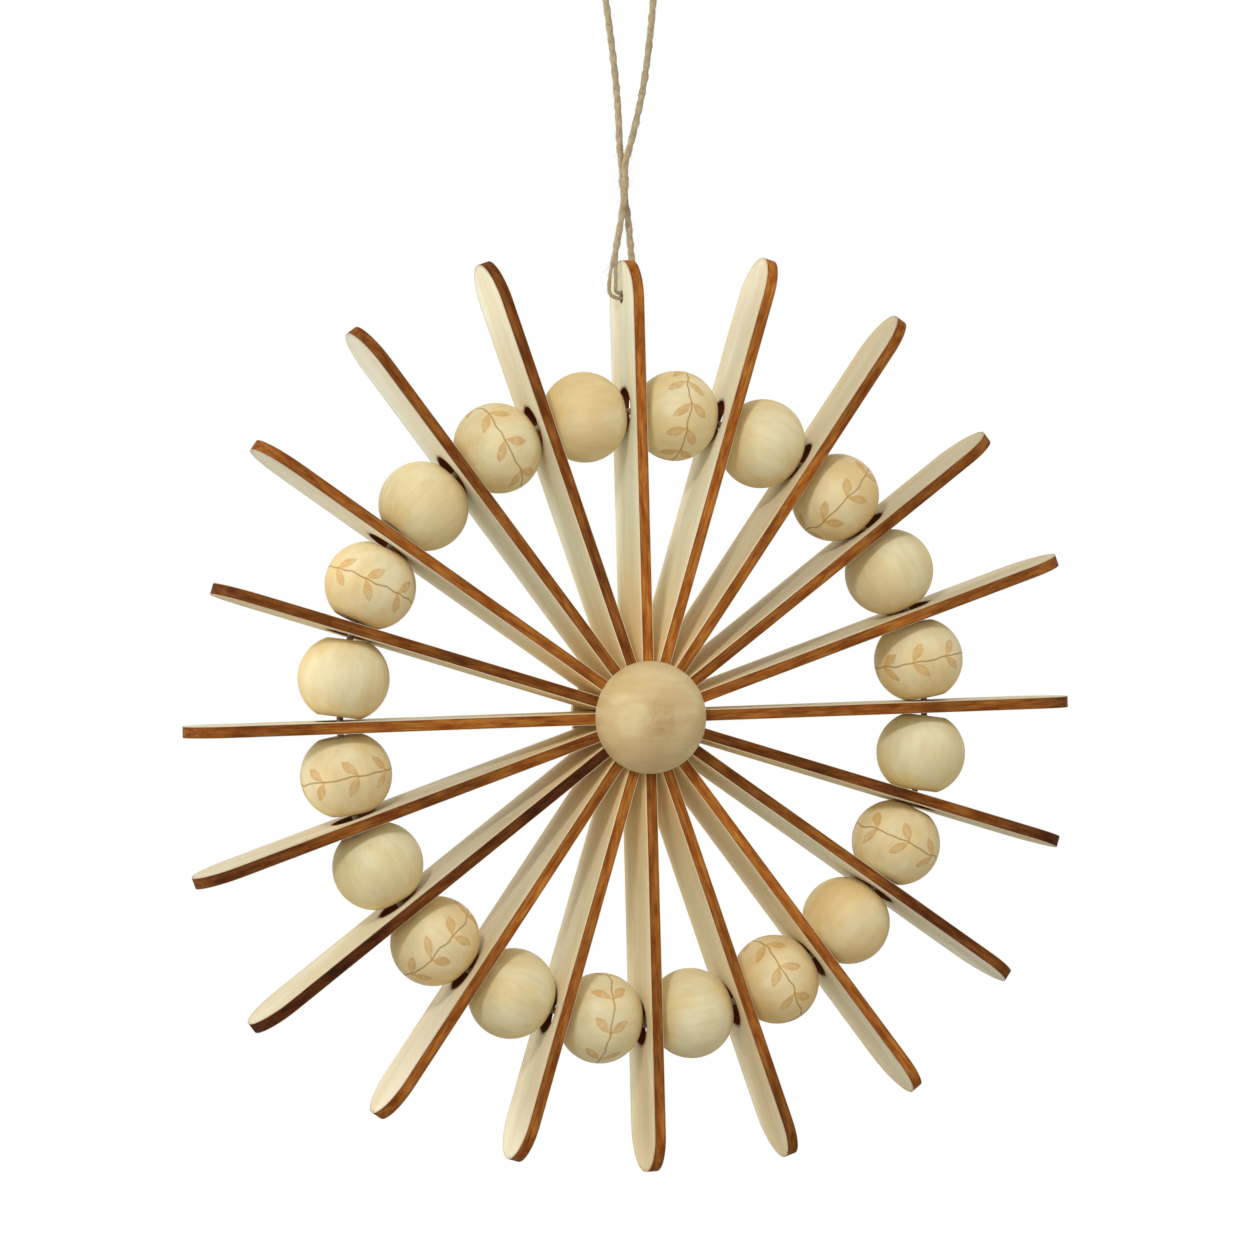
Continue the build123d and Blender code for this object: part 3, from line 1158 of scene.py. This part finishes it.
@dataclass
class Blades:
    """The twenty blades, each with its own reach, burn, warmth and lightness, the lightness partly the
    wood's own tone and partly painted light for how each blade lies to the lamps.
    """

    star_radius: float = 82.5
    softening: float = 0.1
    twine_hole_inset: float = 6.4
    no_twine_hole: float = -500.0
    reach_shares: tuple[float, ...] = (
        0.966, 1.016, 1.034, 0.988, 1.004, 0.972, 0.99, 1.009, 1.019, 0.999,
        0.966, 0.971, 1.004, 1.048, 1.01, 0.975, 0.953, 1.002, 1.018, 1.011,
    )
    burns: tuple[Burn, ...] = (
        Burn.LIGHT, Burn.LIGHT, Burn.MIDDLE, Burn.BROWN, Burn.BROWN,
        Burn.BROWN, Burn.DEEP, Burn.DARK, Burn.LIGHT, Burn.MIDDLE,
        Burn.BROWN, Burn.MIDDLE, Burn.MIDDLE, Burn.BLACK, Burn.DARK,
        Burn.MIDDLE, Burn.DEEP, Burn.MIDDLE, Burn.BROWN, Burn.DARK,
    )
    warmths: tuple[float, ...] = (
        -0.2, -0.1, 0.7, 0.7, 0.5, 0.2, 0.3, -0.6, 0.2, 0.4,
        0.5, 0.1, 0.1, 0.2, 0.2, -0.3, 0.2, -0.5, -0.7, -0.2,
    )
    # Partly painted light: each blade's lightness, set partly for its wood's own tone and partly for how
    # brightly it lies to the lamps.
    tone_and_painted_light_shades: tuple[float, ...] = (
        0.07, 0.04, -0.06, -0.1, -0.06, -0.01, 0.02, 0.05, 0.05, 0.04,
        0.04, 0.04, 0.0, -0.04, -0.06, 0.0, 0.02, 0.02, 0.05, 0.07,
    )

    def build(self) -> None:
        """Dress every blade."""
        for number in range(BLADE_COUNT):
            reach = self.star_radius * self.reach_shares[number]
            hole = reach - self.twine_hole_inset if number == 0 else self.no_twine_hole
            own = (self.burns[number], self.warmths[number], self.tone_and_painted_light_shades[number])
            wood = BladeWood(number, reach, *own, hole)
            node = f"blade_{number + 1:02d}"
            dress(node, wood.material(), self.softening)
            LOG.info("blade %s reaches %.1f mm", node, reach)


@dataclass
class Beads:
    """The twenty beads, by turns painted with a sprig and plain."""

    sprigs: tuple[tuple[float, int, bool], ...] = (
        (15, 11, False), (-4, 8, True), (-28, 8, True), (-3, 8, False), (-25, 9, True),
        (16, 8, False), (27, 9, False), (-4, 8, True), (21, 8, False), (10, 8, False),
    )
    warmths: tuple[float, ...] = (
        0.3, 0.4, 0.9, 0.2, 0.6, 0.0, 0.6, 1.0, 1.1, 0.1,
        0.0, 0.3, 0.9, 0.0, 0.6, 0.5, 0.6, 0.3, 0.7, 0.9,
    )

    def build(self) -> None:
        """Dress every bead."""
        for number in range(BLADE_COUNT):
            kind = "sprig" if number % 2 == 0 else "plain"
            node = f"{kind}_bead_{number + 1:02d}"
            sprig = None if number % 2 else SprigPaint(*self.sprigs[number // 2])
            wood = BeadWood(number, self.warmths[number], sprig)
            dress(node, wood.material(), 0.0)
            LOG.info("bead %s", node)


@dataclass
class Hub:
    """The two half balls."""

    nodes: tuple[str, ...] = ("front_half_ball", "back_half_ball")

    def build(self) -> None:
        """Dress both half balls."""
        material = HubWood().material()
        for node in self.nodes:
            dress(node, material, 0.0)
            LOG.info("half ball %s", node)


@dataclass(frozen=True)
class Softbox:
    """A square lamp: degrees to the right of the camera, degrees up, side in metres, power in watts."""

    azimuth: float
    elevation: float
    size: float
    watts: float


@dataclass
class Studio:
    """The camera at the photograph's view, soft lamps, and a pale floor."""

    azimuth: float = 16.25
    elevation: float = 0.62
    distance: float = 753.0
    lens: float = 125.2
    roll: float = -1.49
    aim: Point = (-2.78, 0.0, 16.92)
    floor_z: float = -310.0
    floor_size: float = 4.0
    floor_colour: Rgba = srgb(186, 185, 182)
    lamp_distance: float = 1.1
    key: Softbox = Softbox(-16.0, 33.0, 0.16, 4.2)
    side: Softbox = Softbox(-80.0, 10.0, 0.8, 5.6)
    right: Softbox = Softbox(62.0, 16.0, 0.8, 1.5)
    sky_level: float = 0.48
    sky_slope: float = 0.12

    def directions(self) -> tuple[Vector, Vector, Vector]:
        """The camera's right, up and forward directions, before its roll.

        Returns:
            The three directions.
        """
        turn, tilt = radians(self.azimuth), radians(self.elevation)
        level = Vector((sin(turn), cos(turn), 0))
        forward = level * cos(tilt) - Vector((0, 0, sin(tilt)))
        right = Vector((cos(turn), -sin(turn), 0))
        return right, right.cross(forward), forward

    def camera(self) -> None:
        """Place the camera."""
        right, up, forward = self.directions()
        aim = (Vector(self.aim) + Vector((0, 0, STAR_CENTRE_Z))) * MM
        data = bpy.data.cameras.new("photo_view")
        data.sensor_width = 36.0
        data.lens = self.lens
        data.clip_start = 0.01
        camera = in_scene("photo_view", data)
        turned = Matrix((right, up, -forward)).transposed()
        turned = turned @ Matrix.Rotation(radians(self.roll), 3, "Z")
        camera.matrix_world = Matrix.Translation(aim - forward * self.distance * MM) @ turned.to_4x4()
        bpy.context.scene.camera = camera

    def lamp(self, name: str, softbox: Softbox) -> None:
        """Place one soft square lamp that faces the star.

        Args:
            name: The lamp's name.
            softbox: Its place, size and power.
        """
        right, _, forward = self.directions()
        turn, tilt = radians(softbox.azimuth), radians(softbox.elevation)
        towards = right * sin(turn) * cos(tilt) - forward * cos(turn) * cos(tilt)
        towards += Vector((0, 0, sin(tilt)))
        towards.normalize()
        data = bpy.data.lights.new(name, "AREA")
        data.shape = "SQUARE"
        data.size = softbox.size
        data.energy = softbox.watts
        lamp = in_scene(name, data)
        centre = Vector((0, 0, STAR_CENTRE_Z * MM))
        lamp.location = centre + towards * self.lamp_distance
        lamp.rotation_euler = (-towards).to_track_quat("-Z", "Y").to_euler()

    def sky(self) -> None:
        """A plain white room, brighter from above, that the camera sees as white."""
        world = bpy.data.worlds.new("white_room")
        bpy.context.scene.world = world
        world.use_nodes = True
        world.node_tree.nodes.clear()
        sheet = NodeSheet(world.node_tree)
        _, _, height = sheet.parted(sheet.add("ShaderNodeTexCoord", output="Generated"))
        level = height * self.sky_slope + self.sky_level
        by_camera = sheet.add("ShaderNodeLightPath", output="Is Camera Ray")
        by_gloss = sheet.add("ShaderNodeLightPath", output="Is Glossy Ray")
        seen = by_camera.math("MAXIMUM", by_gloss)
        back = sheet.add("ShaderNodeBackground", WHITE, level * (1.0 - seen) + seen)
        sheet.node("ShaderNodeOutputWorld", back)

    def floor(self) -> None:
        """A large pale floor below the hanging star."""
        bpy.ops.mesh.primitive_plane_add(size=self.floor_size, location=(0, 0, self.floor_z * MM))
        floor = bpy.context.object
        floor.name = "studio_floor"
        sheet = MaterialSheet("pale_floor")
        sheet.fill(sheet.shader, {"Base Color": self.floor_colour, "Roughness": 0.8})
        away = sheet.add("ShaderNodeVectorMath", sheet.place, operation="LENGTH", output="Value")
        by_camera = sheet.add("ShaderNodeLightPath", output="Is Camera Ray")
        share = by_camera * (away.smooth(0.12, 0.46) * 0.5 + 0.5)
        glow = sheet.add("ShaderNodeEmission", WHITE, 1.0)
        blend = sheet.add("ShaderNodeMixShader", share, sheet.bsdf, glow)
        sheet.feed(sheet.output.inputs["Surface"], blend)
        floor.data.materials.append(sheet.material)

    def build(self) -> None:
        """Set up the view, the light and the floor."""
        scene = bpy.context.scene
        scene.view_settings.view_transform = "Standard"
        self.camera()
        for name in ("key", "side", "right"):
            self.lamp(f"{name}_softbox", getattr(self, name))
        self.sky()
        self.floor()
        LOG.info("studio ready, lens %.1f mm", self.lens)


def main() -> None:
    """Build the star in order: view first, then twine, string, blades, beads and hub."""
    logging.basicConfig(level=logging.INFO, format="%(name)s: %(message)s")
    for piece in (Studio, TwineLoop, BeadString, Blades, Beads, Hub):
        piece().build()


if __name__ == "__main__":
    main()
